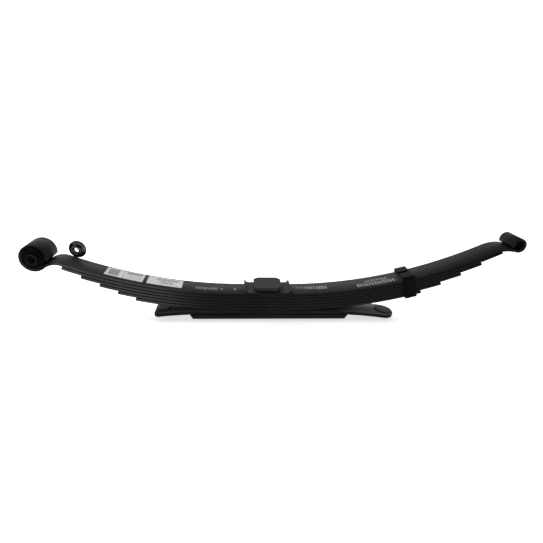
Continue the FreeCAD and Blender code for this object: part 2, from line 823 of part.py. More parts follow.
def flange_nut():
    """The spare flange nut that stands on the main leaf by its far edge."""
    flange = doc.addObject("Part::Cone", "flange_skirt")
    bind(flange, "Radius1", "{nut_flange}")
    bind(flange, "Radius2", "{nut_flange} - 3")
    flange.Height = 4
    hexagon = doc.addObject("Part::Prism", "flange_hexagon")
    hexagon.Polygon = 6
    bind(hexagon, "Circumradius", "{nut_hex} / 2 / cos(30)")
    bind(hexagon, "Height", "{nut_length}")
    solid = doc.addObject("Part::Fuse", "flange_solid")
    solid.Base = flange
    solid.Tool = hexagon
    bore = doc.addObject("Part::Cylinder", "flange_bore")
    bind(bore, "Radius", "{nut_bore}")
    bind(bore, "Height", "{nut_length}")
    nut = doc.addObject("Part::Cut", "flange_nut")
    nut.Base = solid
    nut.Tool = bore
    place, tilt = on_pack("front", sheet.nut_place, sheet.pack_top)
    lift = sheet.nut_flange / math.cos(math.radians(tilt)) + 0.35
    upright = FreeCAD.Rotation(Vec(1, 0, 0), 90)
    turn = FreeCAD.Rotation(UP, -sheet.nut_turn).multiply(upright)
    back = Vec(place.x, sheet.leaf_width / 2 - 1.5, place.z + lift)
    nut.Placement = FreeCAD.Placement(back, turn)
    return nut


def labels():
    """Two paper labels stuck on the front half of the main leaf."""
    made = []
    for name in ("first_label", "second_label"):
        label = curved_patch(
            name,
            "front",
            sheet.pack_top,
            sheet.label_thick,
            getattr(sheet, f"{name}_in"),
            getattr(sheet, f"{name}_out"),
            "{label_width}",
        )
        bind(label, "Placement.Base.y", "{label_shift}")
        made.append(label)
    return made


# ---- assembly ---------------------------------------------------------------------------------

def build():
    """Every sub-part, keyed by the name of its node."""
    parts = {"main_leaf": main_leaf()}
    for number, label in enumerate(LEAF_NAMES, start=2):
        parts[label] = graduated_leaf(label, number)
    parts["sixth_leaf"] = drill_for_clip(parts["sixth_leaf"])
    parts["overload_leaf"] = overload_leaf()
    radius_cells = ("front_pad_radius", "rear_pad_radius")
    for (name, side, reach), cell in zip(overload_pads(), radius_cells):
        parts[name] = overload_pad(name, side, reach, cell)
    parts["bottom_plate"] = bottom_plate()
    parts["centre_liners"] = centre_liners()
    parts["overload_spacers"] = overload_spacers()
    parts["saddle_plate"] = saddle_plate()
    parts["top_pad"] = top_pad()
    parts["centre_bolt"] = centre_bolt()
    parts["centre_nut"] = centre_nut()
    front = eye_centre("front")
    rear = eye_centre("rear")
    parts["front_bush_shell"] = tube(
        "front_bush_shell", "shell_outer", "shell_inner", "leaf_width", front
    )
    parts["front_bush_rubber"] = front_bush_rubber()
    parts["front_bush_sleeve"] = tube(
        "front_bush_sleeve", "sleeve_radius", "sleeve_bore", "sleeve_length", front
    )
    parts["rear_eye_liner"] = tube(
        "rear_eye_liner", "liner_outer", "liner_bore", "leaf_width", rear
    )
    parts["front_tip_liners"] = tip_liners("front")
    parts["rear_tip_liners"] = tip_liners("rear")
    parts["rebound_clip"] = rebound_clip()
    parts["clip_rivet"] = clip_rivet()
    parts["flange_nut"] = flange_nut()
    parts["first_label"], parts["second_label"] = labels()
    return parts


def check(parts):
    """Stops on any failed feature or bad solid."""
    for item in doc.Objects:
        if "Invalid" in item.State or "Error" in item.State:
            raise RuntimeError(f"{item.Name} failed: {item.State}")
    for name, item in parts.items():
        shape = item.Shape
        if shape.isNull() or not shape.isValid() or not shape.Solids:
            raise RuntimeError(f"{name} is not a valid solid")


def main():
    parts = build()
    doc.recompute()
    check(parts)
    os.makedirs("parts", exist_ok=True)
    for name, item in parts.items():
        item.Label = name
        item.Shape.exportStep(f"parts/{name}.step")
    print(len(parts), "parts; eyes at", eye_centre("front"), eye_centre("rear"))


main()
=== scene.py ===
"""The leaf spring's looks: rounded steel leaves, rubber bush, clip, pad, labels and loose nut."""

import math

import bmesh
import bpy
from mathutils import Matrix, Vector


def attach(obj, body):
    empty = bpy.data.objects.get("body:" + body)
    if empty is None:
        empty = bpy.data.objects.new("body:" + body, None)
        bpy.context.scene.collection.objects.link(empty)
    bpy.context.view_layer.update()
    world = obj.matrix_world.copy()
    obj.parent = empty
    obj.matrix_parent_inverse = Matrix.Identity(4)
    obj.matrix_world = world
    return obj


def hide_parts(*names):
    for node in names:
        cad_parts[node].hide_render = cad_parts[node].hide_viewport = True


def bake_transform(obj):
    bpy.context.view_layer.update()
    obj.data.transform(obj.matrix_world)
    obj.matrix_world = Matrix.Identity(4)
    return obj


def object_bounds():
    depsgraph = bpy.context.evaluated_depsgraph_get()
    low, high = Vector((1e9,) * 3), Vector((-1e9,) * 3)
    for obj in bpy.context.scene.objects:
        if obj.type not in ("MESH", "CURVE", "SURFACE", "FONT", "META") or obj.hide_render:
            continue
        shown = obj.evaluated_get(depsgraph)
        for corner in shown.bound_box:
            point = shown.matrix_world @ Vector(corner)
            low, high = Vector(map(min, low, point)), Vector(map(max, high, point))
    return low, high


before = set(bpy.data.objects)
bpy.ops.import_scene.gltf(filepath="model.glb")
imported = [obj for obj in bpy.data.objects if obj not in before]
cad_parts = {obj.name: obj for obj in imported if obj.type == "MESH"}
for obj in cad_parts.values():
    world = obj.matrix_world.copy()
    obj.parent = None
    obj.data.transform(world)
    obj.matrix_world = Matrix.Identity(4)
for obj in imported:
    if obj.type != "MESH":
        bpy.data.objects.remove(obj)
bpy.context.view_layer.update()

MM = 0.001

# Leaf pack, in millimetres: the same sizes as the CAD sheet.
HALF_WIDTH = 38.1
THICK = 8.0
PITCH = 9.4
PACK_TOP = 83.0
RADIUS = 1440.0
FLAT = {"front": 78.0, "rear": 55.0}
REACH = {"front": 580.0, "rear": 695.0}
STEP = {"front": 49.0, "rear": 57.5}
SIDE = {"front": -1, "rear": 1}
BEND_START = {"front": 500.0, "rear": 610.0}
BEND_RADIUS = {"front": 51.0, "rear": 106.0}
EYE_BORE = {"front": 31.0, "rear": 13.5}
EYE_DROP = {"front": 7.4, "rear": 10.0}
WRAP_END = {"front": 172.0, "rear": 175.0}
LEAVES = ["main_leaf", "second_leaf", "third_leaf", "fourth_leaf", "fifth_leaf", "sixth_leaf"]
PACK_DEPTH = (len(LEAVES) - 1) * PITCH + THICK
SECOND_TIP_THICK = 4.0
TAPER_LENGTH = 48.0
TIP_ROUND = 1.6
TIP_TURNS = (0, 30, 55, 75, 88)


# ---- meshes ---------------------------------------------------------------------------------

def new_object(name, data):
    obj = bpy.data.objects.new(name, data)
    bpy.context.scene.collection.objects.link(obj)
    return obj


def mesh_object(name, bm, sharp=35.0):
    """Turns a bmesh into an object: outward faces, smooth shading, edges sharp past an angle."""
    bmesh.ops.remove_doubles(bm, verts=bm.verts, dist=1e-7)
    bmesh.ops.recalc_face_normals(bm, faces=bm.faces)
    for face in bm.faces:
        face.smooth = True
    for edge in bm.edges:
        if len(edge.link_faces) == 2 and edge.calc_face_angle(0) > math.radians(sharp):
            edge.smooth = False
    mesh = bpy.data.meshes.new(name)
    bm.to_mesh(mesh)
    bm.free()
    return new_object(name, mesh)


def apply_modifiers(obj):
    """Bakes the object's modifiers into its mesh."""
    graph = bpy.context.evaluated_depsgraph_get()
    mesh = bpy.data.meshes.new_from_object(obj.evaluated_get(graph))
    obj.modifiers.clear()
    obj.data = mesh
    return obj


def round_edges(obj, width):
    """Rounds an object's hard edges, width in millimetres."""
    mod = obj.modifiers.new("round", "BEVEL")
    mod.width = width * MM
    mod.segments = 3
    mod.limit_method = "ANGLE"
    mod.angle_limit = math.radians(32.0)
    mod.harden_normals = True
    return apply_modifiers(obj)


def cut(obj, cutter):
    """Takes one object's shape out of another and deletes the tool."""
    mod = obj.modifiers.new("cut", "BOOLEAN")
    mod.operation = "DIFFERENCE"
    mod.object = cutter
    mod.solver = "EXACT"
    apply_modifiers(obj)
    bpy.data.objects.remove(cutter)


def join(name, parts):
    """One object from several meshes."""
    bm = bmesh.new()
    for part in parts:
        bm.from_mesh(part.data)
        bpy.data.objects.remove(part)
    mesh = bpy.data.meshes.new(name)
    bm.to_mesh(mesh)
    bm.free()
    return new_object(name, mesh)


def trace(start, steps, line_step=10.0, arc_step=8.0, arc_turn=5.0):
    """Stations (distance, x, y, angle) along a path of lines and arcs in a plane.

    steps are ("line", length) or ("arc", radius, degrees), positive degrees turning left.
    """
    x, y = start
    angle = 0.0
    travelled = 0.0
    stations = [(0.0, x, y, 0.0)]
    for step in steps:
        if step[0] == "line":
            count = max(1, math.ceil(step[1] / line_step))
            for k in range(1, count + 1):
                run = step[1] * k / count
                stations.append((
                    travelled + run,
                    x + run * math.cos(angle),
                    y + run * math.sin(angle),
                    angle,
                ))
            travelled += step[1]
        else:
            turn = math.radians(step[2])
            bend = math.copysign(step[1], turn)
            length = abs(turn) * step[1]
            count = max(2, math.ceil(length / arc_step), math.ceil(abs(step[2]) / arc_turn))
            cx = x - bend * math.sin(angle)
            cy = y + bend * math.cos(angle)
            for k in range(1, count + 1):
                now = angle + turn * k / count
                stations.append((
                    travelled + length * k / count,
                    cx + bend * math.sin(now),
                    cy - bend * math.cos(now),
                    now,
                ))
            travelled += length
            angle += turn
        _, x, y, _ = stations[-1]
    return stations


def at_distance(stations, distance):
    """Station at a distance along the traced path, straight between its neighbours."""
    for before, after in zip(stations, stations[1:]):
        if distance <= after[0]:
            share = (distance - before[0]) / (after[0] - before[0])
            return tuple(a + (b - a) * share for a, b in zip(before, after))
    return stations[-1]


def bar_section(half_width, half_thick, bulge=1.5, power=2.6):
    """Rolled bar's section, as (across, up) points: flat faces and gently bowed sides."""
    rows = 8
    points = []
    for side in (1, -1):
        edge = []
        for k in range(rows + 1):
            up = half_thick * math.cos(math.pi * k / rows)
            inset = bulge * abs(up / half_thick) ** power
            edge.append((side * (half_width - inset), up))
        if side < 0:
            edge.reverse()
        points += edge
    return points


def along_x(side):
    """Places a swept point (along, across, up), the path running to +X or -X."""
    return lambda along, across, up: Vector((side * along, across, up)) * MM


def along_y(side):
    """Places a swept point (along, across, up), the path running to +Y or -Y."""
    return lambda along, across, up: Vector((across, side * along, up)) * MM


def sweep(bm, stations, section_at, place, uv_layer=None):
    """Skins sections along stations and closes both ends. section_at(station) gives
    (across, up) points; uv_layer gets the distance along and across, in metres."""
    rings = []
    uvs = {}
    for station in stations:
        distance, x, y, angle = station
        ring = []
        for across, up in section_at(station):
            px = x - up * math.sin(angle)
            py = y + up * math.cos(angle)
            vert = bm.verts.new(place(px, across, py))
            uvs[vert] = (distance * MM, across * MM)
            ring.append(vert)
        rings.append(ring)
    count = len(rings[0])
    for first, second in zip(rings, rings[1:]):
        for k in range(count):
            j = (k + 1) % count
            bm.faces.new((first[k], first[j], second[j], second[k]))
    bm.faces.new(rings[0])
    bm.faces.new(rings[-1])
    if uv_layer:
        for face in bm.faces:
            for loop in face.loops:
                loop[uv_layer].uv = uvs[loop.vert]


def lathe(name, profile, centre, axis="Y", segments=72, sharp=30.0):
    """Turns a closed (radius, along) profile about an axis through centre."""
    bm = bmesh.new()
    rings = []
    for k in range(segments):
        turn = 2 * math.pi * k / segments
        ring = []
        for radius, along in profile:
            a, b = radius * math.cos(turn), radius * math.sin(turn)
            point = Vector((a, along, b)) if axis == "Y" else Vector((a, b, along))
            ring.append(bm.verts.new((point + Vector(centre)) * MM))
        rings.append(ring)
    count = len(profile)
    for first, second in zip(rings, rings[1:] + rings[:1]):
        for i in range(count):
            j = (i + 1) % count
            on_axis = profile[i][0] < 1e-6 and profile[j][0] < 1e-6
            if not on_axis:
                bm.faces.new([first[i], first[j], second[j], second[i]])
    bmesh.ops.remove_doubles(bm, verts=bm.verts, dist=1e-7)
    bmesh.ops.dissolve_degenerate(bm, edges=bm.edges, dist=1e-8)
    return mesh_object(name, bm, sharp)


def prism(bm, outline, low, high):
    """A straight-sided block over an outline of (x, y) points."""
    rings = [[bm.verts.new((x * MM, y * MM, z * MM)) for x, y in outline] for z in (low, high)]
    count = len(outline)
    for k in range(count):
        j = (k + 1) % count
        bm.faces.new((rings[0][k], rings[0][j], rings[1][j], rings[1][k]))
    bm.faces.new(rings[0][::-1])
    bm.faces.new(rings[1])


# ---- materials ------------------------------------------------------------------------------

class Tree:
    """Small helper that adds and wires shader nodes of a node tree."""

    def __init__(self, tree):
        self.tree = tree

    def add(self, kind, settings=None, **inputs):
        node = self.tree.nodes.new(kind)
        for key, value in (settings or {}).items():
            setattr(node, key, value)
        for key, value in inputs.items():
            self.plug(value, node.inputs[key.replace("_", " ")])
        return node

    def plug(self, value, socket):
        if isinstance(value, bpy.types.NodeSocket):
            self.tree.links.new(value, socket)
        else:
            socket.default_value = value

    def math(self, operation, *values):
        node = self.add("ShaderNodeMath", {"operation": operation})
        for value, socket in zip(values, node.inputs):
            self.plug(value, socket)
        return node.outputs[0]

    def noise(self, vector, scale, detail=4.0, rough=0.55):
        node = self.add("ShaderNodeTexNoise", Scale=scale, Detail=detail, Roughness=rough)
        self.plug(vector, node.inputs["Vector"])
        return node.outputs["Fac"]

    def ramp(self, value, low, high, out_low=0.0, out_high=1.0):
        node = self.add("ShaderNodeMapRange", {"interpolation_type": "SMOOTHSTEP"})
        for socket, number in zip(node.inputs[:5], (value, low, high, out_low, out_high)):
            self.plug(number, socket)
        return node.outputs[0]

    def mix(self, factor, first, second):
        node = self.add("ShaderNodeMix", {"data_type": "RGBA"})
        self.plug(factor, node.inputs[0])
        self.plug(first, node.inputs[6])
        self.plug(second, node.inputs[7])
        return node.outputs[2]

    def split(self, vector):
        node = self.add("ShaderNodeSeparateXYZ")
        self.plug(vector, node.inputs[0])
        return node.outputs

    def stretched(self, x, y, z):
        """Object coordinates scaled per axis."""
        coords = self.add("ShaderNodeTexCoord").outputs["Object"]
        node = self.add("ShaderNodeMapping", Scale=(x, y, z))
        self.plug(coords, node.inputs["Vector"])
        return node.outputs[0]


class Material(Tree):
    """A new material's tree, with its Principled shader."""

    def __init__(self, name):
        self.material = bpy.data.materials.new(name)
        self.material.use_nodes = True
        super().__init__(self.material.node_tree)
        self.shader = self.tree.nodes["Principled BSDF"]

    def bump(self, height, strength, distance):
        node = self.add("ShaderNodeBump", Strength=strength, Distance=distance)
        self.plug(height, node.inputs["Height"])
        self.plug(node.outputs[0], self.shader.inputs["Normal"])

    def set(self, **values):
        for key, value in values.items():
            self.plug(value, self.shader.inputs[key.replace("_", " ")])


def surface_coords(n):
    """u along the leaf and v across it, in metres."""
    u, v, _ = n.split(n.add("ShaderNodeUVMap", {"uv_map": "leaf"}).outputs[0])
    return u, v


def black_paint(name, side, top, rough=0.38, marks=None, eye_shade=None, along=None):
    """Satin black paint with painted light: faces that point up get the lighter top colour
    and faces that turn down a painted shade, so side and top are a painted shade and a
    painted light. Faint cloudiness, orange peel and fine scratches along the leaf. along
    gives (from, to, side factor, top factor), the painted light's change with distance
    along the leaf. The argument after marks gives (from, to), a stretch of painted shade
    beside the eye, with no lighter top, and a darker top on the eye past it; it needs along.
    marks adds pale marks to the paint."""
    n = Material(name)
    plain = n.stretched(1, 1, 1)
    cloud = n.noise(plain, 9.0, 5.0)
    dust = n.noise(plain, 55.0, 6.0, 0.65)
    streak = n.noise(n.stretched(6, 160, 160), 3.0, 5.0, 0.6)
    patch = n.math("ADD", n.math("MULTIPLY", cloud, 0.55), n.math("MULTIPLY", dust, 0.45))
    worn = n.math("ADD", n.math("MULTIPLY", patch, 0.65), n.math("MULTIPLY", streak, 0.35))
    shade = n.ramp(worn, 0.35, 0.65)
    facing_up = n.split(n.add("ShaderNodeNewGeometry").outputs["Normal"])[2]
    # Painted light: faces that point up get the lighter top colour through this mask.
    lit_top_mask = n.ramp(facing_up, 0.45, 0.85)
    flank = n.math("ADD", side * 0.8, n.math("MULTIPLY", shade, side * 0.45))
    # Painted shade: sides get darker as they turn to face down.
    flank = n.math("MULTIPLY", flank, n.ramp(facing_up, -0.45, 0.0, 0.15, 1.0))
    face = n.math("ADD", top * 0.9, n.math("MULTIPLY", shade, top * 0.2))
    # Painted light and shade that change with distance along the leaf.
    if along:
        u, _ = surface_coords(n)
        start, stop, side_factor, top_factor = along
        flank = n.math("MULTIPLY", flank, n.ramp(u, start, stop, 1.0, side_factor))
        face = n.math("MULTIPLY", face, n.ramp(u, start, stop, 1.0, top_factor))
    # Painted shade beside the eye: no lighter top over the stretch, the sides brought back near
    # their plain colour, and a darker top on the eye past it.
    if eye_shade:
        low, high = eye_shade
        past_low = n.ramp(u, low, low + 0.008)
        before_high = n.ramp(u, high, high + 0.01, 1.0, 0.0)
        eye_shade_mask = n.math("MULTIPLY", n.math("MULTIPLY", past_low, before_high), 0.9)
        lit_top_mask = n.math("MULTIPLY", lit_top_mask, n.math("SUBTRACT", 1.0, eye_shade_mask))
        flank = n.math("MULTIPLY", flank, n.ramp(u, low - 0.02, low, 1.0, 0.9 / side_factor))
        face = n.math("MULTIPLY", face, n.ramp(u, high, high + 0.01, 1.0, 0.72))
    # Painted light and shade: the darker side colour where faces don't point up, the lighter top
    # colour where they do.
    unlit_part = n.math("MULTIPLY", flank, n.math("SUBTRACT", 1.0, lit_top_mask))
    colour = n.math("ADD", unlit_part, n.math("MULTIPLY", face, lit_top_mask))
    if marks:
        colour = n.mix(marks(n), colour, (0.34, 0.34, 0.33, 1))
    n.set(Base_Color=colour, Roughness=n.ramp(worn, 0.3, 0.7, rough - 0.05, rough + 0.08))
    n.set(Specular_IOR_Level=0.022)
    peel = n.noise(plain, 420.0, 3.0)
    height = n.math("ADD", n.math("MULTIPLY", peel, 0.35), n.math("MULTIPLY", streak, 0.65))
    n.bump(height, 0.08, 0.0003)
    return n.material


def box_mask(n, u, v, box, soft):
    """1 inside a (u0, u1, v0, v1) box of surface coordinates (metres), 0 outside."""
    u0, u1, v0, v1 = box
    mask = n.ramp(u, u0 - soft, u0 + soft)
    for part in (
        n.ramp(u, u1 - soft, u1 + soft, 1.0, 0.0),
        n.ramp(v, v0 - soft, v0 + soft),
        n.ramp(v, v1 - soft, v1 + soft, 1.0, 0.0),
    ):
        mask = n.math("MULTIPLY", mask, part)
    return mask


def stripes(n, run, pitch, share, soft):
    """Bands of a share of each pitch along a coordinate, which is kept above zero."""
    phase = n.math("FRACT", n.math("DIVIDE", n.math("ADD", run, 5.0), pitch))
    return n.ramp(phase, share, share + soft, 1.0, 0.0)


def dashes(rows):
    """Mask maker for rows of worn stencil dashes: (box, pitch, share, strength)."""
    def build(n):
        u, v = surface_coords(n)
        coords = n.add("ShaderNodeTexCoord").outputs["Object"]
        wobble = n.math("MULTIPLY", n.math("SUBTRACT", n.noise(coords, 120.0, 2.0), 0.5), 0.005)
        wavy = n.math("ADD", u, wobble)
        ragged = n.math("ADD", v, n.math("MULTIPLY", wobble, 0.8))
        total = 0.0
        for box, pitch, share, strength in rows:
            dash = stripes(n, wavy, pitch, share, 0.12)
            row = n.math("MULTIPLY", box_mask(n, u, ragged, box, 0.0008), dash)
            total = n.math("ADD", total, n.math("MULTIPLY", row, strength))
        chips = n.ramp(n.noise(coords, 210.0, 4.0), 0.34, 0.56)
        return n.math("MULTIPLY", total, chips)
    return build


def rubber():
    """Black rubber with a faint grey bloom."""
    n = Material("bush_rubber")
    coords = n.stretched(1, 1, 1)
    bloom = n.ramp(n.noise(coords, 60.0, 5.0), 0.4, 0.75)
    colour = n.mix(bloom, (0.0010, 0.0010, 0.0010, 1), (0.0024, 0.0024, 0.0024, 1))
    n.set(Base_Color=colour, Roughness=n.ramp(bloom, 0.0, 1.0, 0.32, 0.5))
    n.set(Specular_IOR_Level=0.02)
    n.bump(n.noise(coords, 700.0, 3.0), 0.25, 0.0002)
    return n.material


def metal(name, dark, light, rough):
    """Bare or plated steel with fine turning marks."""
    n = Material(name)
    lines = n.noise(n.stretched(60, 600, 60), 1.0, 4.0)
    blotch = n.noise(n.stretched(1, 1, 1), 130.0, 4.0)
    both = n.math("MULTIPLY", n.math("ADD", lines, blotch), 0.5)
    n.set(
        Base_Color=n.mix(n.ramp(both, 0.3, 0.7), (*dark, 1), (*light, 1)),
        Roughness=n.ramp(both, 0.2, 0.8, rough, rough + 0.14),
        Metallic=1.0,
    )
    n.bump(lines, 0.12, 0.0002)
    return n.material


def label_paper(name, blocks):
    """White paper with a plain print: solid blocks (box, None), or blocks of bars or lines
    (box, (way, pitch, share))."""
    n = Material(name)
    u, v = surface_coords(n)
    ink = 0.0
    for box, hatch in blocks:
        mask = box_mask(n, u, v, box, 0.0006)
        if hatch:
            way, pitch, share = hatch
            run = u if way == "bars" else v
            mask = n.math("MULTIPLY", mask, stripes(n, run, pitch, share, 0.1))
        ink = n.math("ADD", ink, mask)
    ink = n.math("MINIMUM", ink, 1.0)
    coords = n.stretched(1, 1, 1)
    grime = n.ramp(n.noise(coords, 40.0, 5.0), 0.35, 0.8)
    paper = n.mix(grime, (0.44, 0.44, 0.44, 1), (0.36, 0.36, 0.36, 1))
    n.set(Base_Color=n.mix(n.math("MULTIPLY", ink, 0.85), paper, (0.07, 0.07, 0.072, 1)))
    n.set(Roughness=n.ramp(grime, 0.0, 1.0, 0.4, 0.55))
    n.bump(n.noise(coords, 500.0, 2.0), 0.1, 0.0001)
    return n.material


# ---- leaves ---------------------------------------------------------------------------------

def arc_radius(height):
    return RADIUS + PACK_TOP - height


def lean_at(end, reach, height):
    """Upward tilt of the pack's curve at a reach from the centre bolt, in degrees."""
    return math.degrees(math.asin((reach - FLAT[end]) / arc_radius(height)))


def on_pack(end, reach):
    """(x, z, tilt in radians) on the pack's top curve, x growing away from the centre bolt."""
    lean = math.radians(lean_at(end, reach, PACK_TOP))
    return reach, PACK_TOP + RADIUS * (1 - math.cos(lean)), lean


def main_steps(end):
    """Path of the main leaf's middle: flat, curve up, dip into the eye, roll of the eye."""
    middle = PACK_TOP - THICK / 2
    roll = EYE_BORE[end] + THICK / 2
    bend = BEND_RADIUS[end]
    dip = math.degrees(math.acos((bend - EYE_DROP[end]) / (bend + roll)))
    return [
        ("line", FLAT[end]),
        ("arc", arc_radius(middle), math.degrees(math.asin(BEND_START[end] / RADIUS))),
        ("arc", bend, -dip),
        ("arc", roll, WRAP_END[end] + 90 + dip),
    ]


def eye_centre(end):
    """Centre of the rolled eye, in millimetres."""
    flat, arc, dip, roll = main_steps(end)
    lean = math.radians(arc[2])
    turn = math.radians(-dip[2])
    ahead = (dip[1] + roll[1]) * math.sin(turn)
    drop = EYE_DROP[end]
    x = flat[1] + arc[1] * math.sin(lean) + ahead * math.cos(lean) + drop * math.sin(lean)
    z = PACK_TOP - THICK / 2 + arc[1] * (1 - math.cos(lean))
    z += ahead * math.sin(lean) - drop * math.cos(lean)
    return Vector((SIDE[end] * x, 0, z))


def round_tip(stations):
    """(station, inset) pairs along the path, the last of them drawing in a rounded tip."""
    total = stations[-1][0]
    dressed = [(s, 0.0) for s in stations if s[0] < total - TIP_ROUND - 0.5]
    for degrees in TIP_TURNS:
        turn = math.radians(degrees)
        inset = TIP_ROUND * (1 - math.cos(turn))
        spot = total - TIP_ROUND + TIP_ROUND * math.sin(turn)
        dressed.append((at_distance(stations, spot), inset))
    return dressed


def swept_half(name, end, dressed, section_of):
    """Half of a leaf as its own piece. section_of(distance, inset) gives its section."""
    insets = dict(dressed)
    bm = bmesh.new()
    layer = bm.loops.layers.uv.new("leaf")

    def section(station):
        return section_of(station[0], insets[station])

    sweep(bm, [station for station, _ in dressed], section, along_x(SIDE[end]), layer)
    return mesh_object(name, bm, 50.0)


def leaf_half(name, end, stations, tapered):
    """One half of a leaf, rounded at the tip. A tapered one thins near its tip from above,
    so that it still lies on the leaf under it."""
    total = stations[-1][0]

    def section_of(distance, inset):
        share = min(1.0, max(0.0, (distance - total + TAPER_LENGTH) / TAPER_LENGTH))
        lost = (THICK - SECOND_TIP_THICK) / 2 * share if tapered else 0.0
        points = bar_section(HALF_WIDTH - inset, THICK / 2 - lost - inset * 0.9)
        return [(across, up - lost) for across, up in points]

    return swept_half(name, end, round_tip(stations), section_of)


def build_leaves():
    """Front and rear halves of every leaf, by node and end."""
    pieces = {}
    for number, leaf in enumerate(LEAVES):
        height = PACK_TOP - number * PITCH - THICK / 2
        for end in ("front", "rear"):
            if leaf == "main_leaf":
                steps = main_steps(end)
            else:
                reach = REACH[end] - (number - 1) * STEP[end]
                curve = ("arc", arc_radius(height), lean_at(end, reach, height))
                steps = [("line", FLAT[end]), curve]
            stations = trace((0, height), steps)
            tapered = leaf == "second_leaf" and end == "rear"
            pieces[leaf, end] = leaf_half(f"{leaf}_{end}", end, stations, tapered)
    return pieces


BLEND = {
    "front": ("clamped_pack", "front_eye", (-0.04, 0, 0.08), (-0.345, 0, 0.08)),
    "rear": ("clamped_pack", "rear_eye", (0.04, 0, 0.08), (0.395, 0, 0.08)),
}


def bend_with(piece, end):
    """Bakes the piece's placement into its mesh; the end's blend settings are read, but nothing
    bends it.
    """
    body, tip, start, stop = BLEND[end]
    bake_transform(piece)
    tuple(start)
    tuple(stop)


# ---- overload leaf and bottom plate -----------------------------------------------------------

# A reach is a distance from the centre bolt; the plate's reach is that of its lower edge.
OVERLOAD_THICK = 11.5
OVERLOAD_BOTTOM = 14.0
OVERLOAD_FLAT = 188.0
OVERLOAD_RADIUS = 1150.0
OVERLOAD_REACH = {"front": 335.0, "rear": 397.0}
OVERLOAD_CORNER = 9.0
WEAR_PAD_THICK = 4.0
WEAR_PAD_ROLL = 2.0
PLATE_REACH = {"front": 222.0, "rear": 238.0}
PLATE_BEVEL = 8.0
PLATE_THICK = 12.5
DOWEL_RECESS = (9.75, 3.0)


def overload_droop(reach):
    return math.degrees(math.asin((reach - OVERLOAD_FLAT) / OVERLOAD_RADIUS))


def overload_half(end):
    """Half of the flat overload leaf, its tip round behind and clipped in front."""
    reach = OVERLOAD_REACH[end]
    steps = [("line", OVERLOAD_FLAT), ("arc", OVERLOAD_RADIUS, -overload_droop(reach))]
    path = trace((0, OVERLOAD_BOTTOM + OVERLOAD_THICK / 2), steps)
    total = path[-1][0]
    round_from = total - HALF_WIDTH

    def half_width(distance):
        if end == "rear":
            past = max(0.0, distance - round_from)
            return max(math.sqrt(max(HALF_WIDTH ** 2 - past ** 2, 0)), 1.0)
        return HALF_WIDTH - max(0.0, distance - total + OVERLOAD_CORNER)

    def section_of(distance, inset):
        wide = half_width(distance) - inset
        return bar_section(wide, OVERLOAD_THICK / 2 - inset * 0.9, min(2.0, wide * 0.4), 3.4)

    if end == "rear":
        spots = [round_from + HALF_WIDTH * math.sin(math.radians(a)) for a in range(0, 87, 4)]
    else:
        spots = [total - OVERLOAD_CORNER, total - OVERLOAD_CORNER / 2]
    stations = [s for s in path if s[0] < spots[0] - 1]
    stations += [at_distance(path, spot) for spot in spots]
    if end == "front":
        dressed = round_tip(stations + [path[-1]])
    else:
        dressed = [(station, 0.0) for station in stations]
    return swept_half(f"overload_leaf_{end}", end, dressed, section_of)


def wear_pad(node, side, reach, radius):
    """Round wear pad on the overload leaf's tip, with a rolled edge."""
    droop = math.radians(overload_droop(reach))
    top_radius = OVERLOAD_RADIUS + OVERLOAD_THICK / 2
    profile = [(0, 0), (radius - 0.6, 0), (radius, 0.6)]
    for k in range(7):
        turn = math.pi / 2 * k / 6
        profile.append((
            radius - WEAR_PAD_ROLL * (1 - math.cos(turn)),
            WEAR_PAD_THICK - WEAR_PAD_ROLL * (1 - math.sin(turn)),
        ))
    profile += [(radius * 0.6, WEAR_PAD_THICK + 0.15), (0, WEAR_PAD_THICK + 0.25)]
    disc = lathe(f"{node}_disc", profile, (0, 0, 0), "Z", 64)
    above_leaf = 0.15
    z = OVERLOAD_BOTTOM + OVERLOAD_THICK - top_radius * (1 - math.cos(droop)) + above_leaf
    turn = Matrix.Rotation(side * droop, 4, "Y")
    disc.matrix_world = Matrix.Translation(Vector((side * reach, 0, z)) * MM) @ turn
    return disc


def bottom_plate():
    """The seat plate: bevelled ends, a recess round the dowel."""
    bm = bmesh.new()
    side = [
        (-PLATE_REACH["front"], 0), (PLATE_REACH["rear"], 0),
        (PLATE_REACH["rear"] + PLATE_BEVEL, PLATE_THICK),
        (-PLATE_REACH["front"] - PLATE_BEVEL, PLATE_THICK),
    ]
    rings = []
    for y in (-HALF_WIDTH, HALF_WIDTH):
        rings.append([bm.verts.new(Vector((x, y, z)) * MM) for x, z in side])
    for k in range(4):
        j = (k + 1) % 4
        bm.faces.new((rings[0][k], rings[0][j], rings[1][j], rings[1][k]))
    bm.faces.new(rings[0])
    bm.faces.new(rings[1])
    plate = mesh_object("bottom_plate_body", bm)
    radius, depth = DOWEL_RECESS
    recess = [(0, -5), (radius, -5), (radius, depth), (0, depth)]
    cut(plate, lathe("cutter", recess, (0, 0, 0), "Z", 64))
    return round_edges(plate, 1.6)


# ---- clamp ------------------------------------------------------------------------------------

SADDLE_HALF_THICK = 2.0
SADDLE_HALF_WIDTH = 42.0
SADDLE_LIP = [("line", 55.0), ("arc", 14.0, 62.0), ("line", 1.5)]
SADDLE_TAB_HALF_WIDTH = 25.0
SADDLE_FOLD = [("line", 36.0), ("arc", 4.5, -90.0), ("line", 4.5)]
FOOT_HALF_X = 31.0
FOOT_HALF_Y = 35.0
FOOT_BOTTOM = 87.0
FOOT_TOP = 96.2
PAD_HALF_X = 41.0
PAD_HALF_Y = 43.0
PAD_CORNER = 12.0
PAD_BOTTOM = 96.0
PAD_TOP = 102.5


def strap(name, start, steps, half_width, half_thick, place, arc_turn=9.0):
    """A flat strap of square section bent along a path."""
    corners = [
        (half_width, half_thick), (half_width, -half_thick),
        (-half_width, -half_thick), (-half_width, half_thick),
    ]
    bm = bmesh.new()
    sweep(bm, trace(start, steps, 30.0, 30.0, arc_turn), lambda station: corners, place)
    return mesh_object(name, bm)


